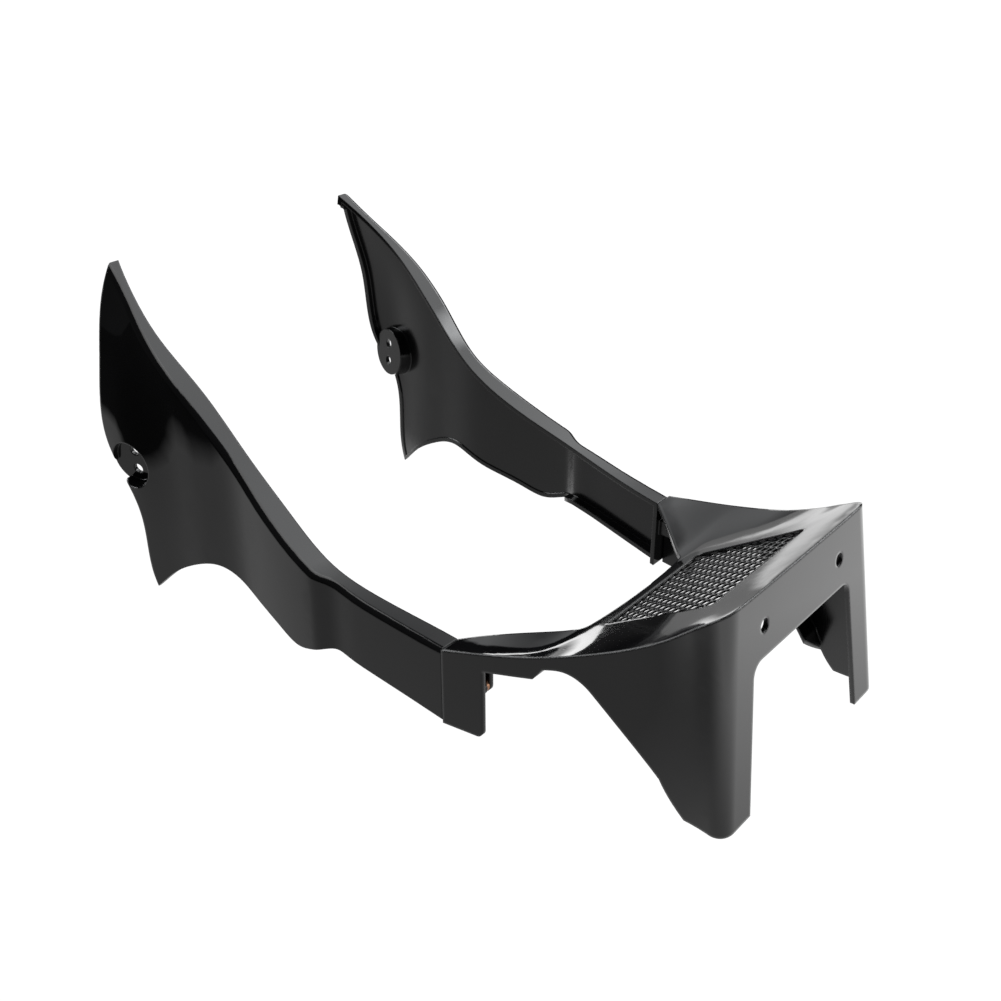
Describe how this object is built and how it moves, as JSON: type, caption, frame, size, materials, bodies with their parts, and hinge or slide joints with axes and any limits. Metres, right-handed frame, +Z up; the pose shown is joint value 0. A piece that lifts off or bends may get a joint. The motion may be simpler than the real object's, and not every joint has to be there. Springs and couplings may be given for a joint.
{
  "type": "motorcycle fairing",
  "caption": "Moulded gloss fairing: a dished centre cowl with a diamond grille and a raked bolt-on plate, with a bladed side arm screwed to each side.",
  "frame": {"origin": "on the floor, under the middle of the overall box", "axes": "+X from the blades to the mounting plate, +Y across to the left arm, +Z up"},
  "size_m": [0.4694, 0.2614, 0.2218],
  "materials": {
    "gloss_shell": "deep gloss black moulding",
    "grille": "satin black sheet",
    "insert": "turned",
    "screw": "dark zinc"
  },
  "bodies": {
    "root": {"centre_cowl": "gloss_shell", "left_arm": "gloss_shell", "right_arm": "gloss_shell", "mesh_grille": "grille", "brass_inserts": "insert", "joint_screws": "screw"}
  },
  "joints": []
}
